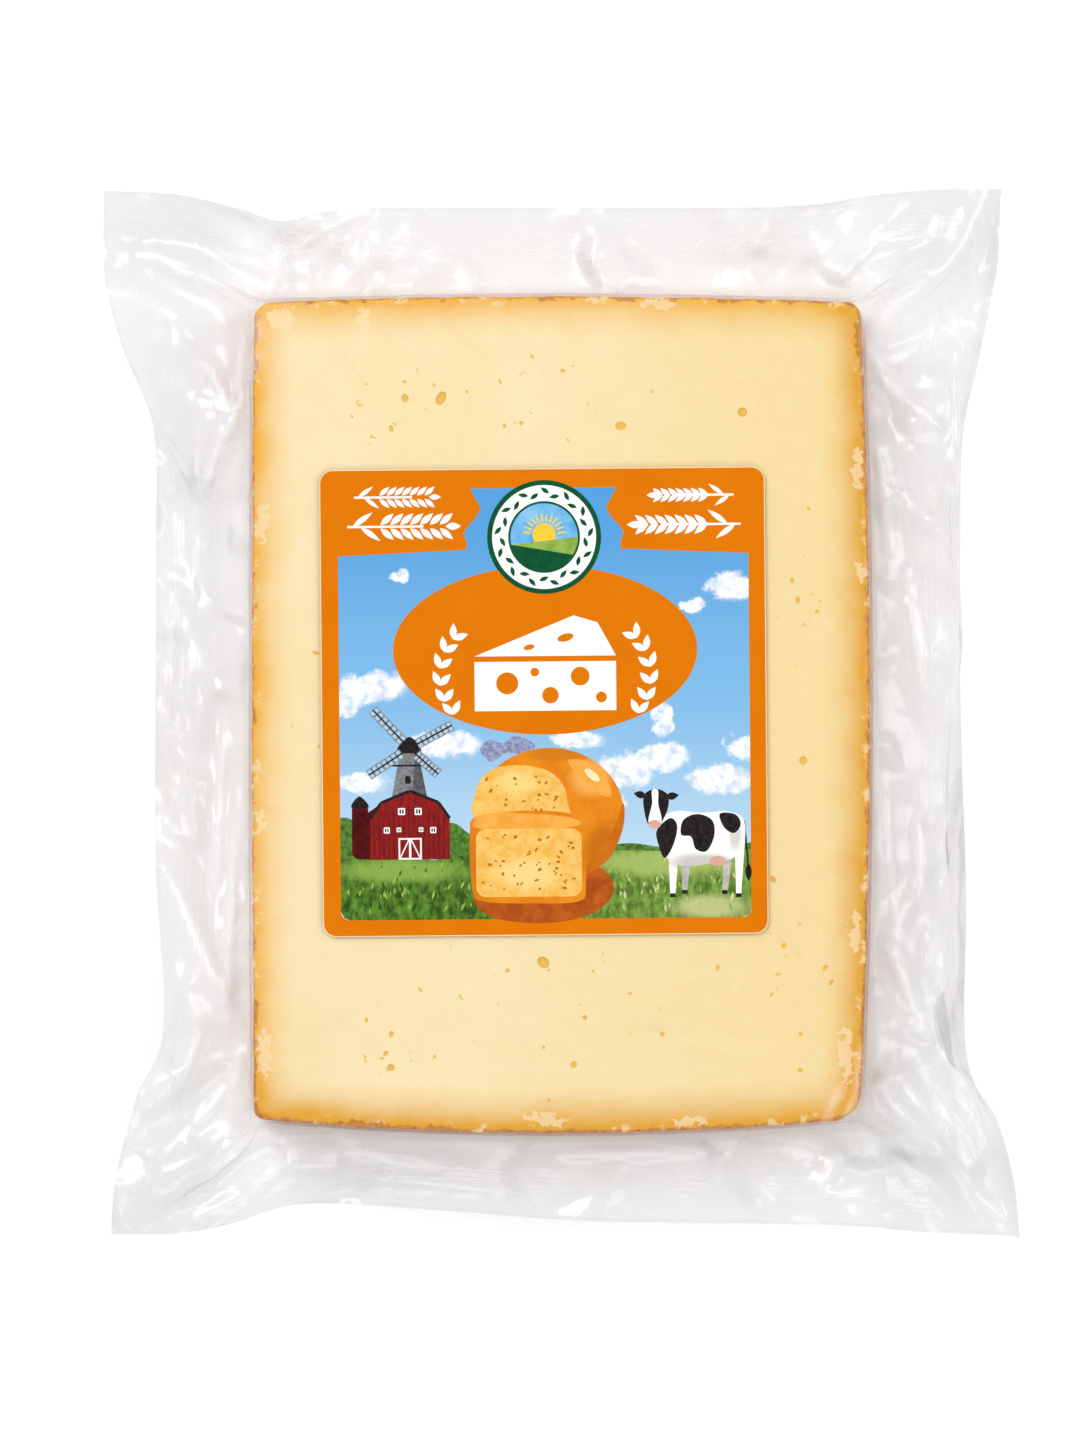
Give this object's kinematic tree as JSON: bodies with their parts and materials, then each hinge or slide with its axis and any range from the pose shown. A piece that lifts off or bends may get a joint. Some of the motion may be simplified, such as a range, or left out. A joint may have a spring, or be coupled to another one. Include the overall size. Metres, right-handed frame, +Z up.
{
  "type": "cheese slab in vacuum pouch",
  "caption": "Flat rectangular slab of semi-hard cheese with rind on its edges, vacuum packed in a clear film pouch with wide sealed margins and a printed label on top.",
  "frame": {"origin": "centre of the pack's footprint, on the surface that the pack lies on", "axes": "+Z up through the slab's thickness with the label on top, +Y along the slab's length towards the top of the label's picture, +X to the right of the label's picture"},
  "size_m": [0.1666, 0.191, 0.0182],
  "materials": {
    "cheese": "satin",
    "clear_film": "gloss",
    "label_paper": "satin"
  },
  "bodies": {
    "root": {"cheese_slab": "cheese", "lower_film": "clear_film", "upper_film": "clear_film", "label": "label_paper"}
  },
  "joints": []
}
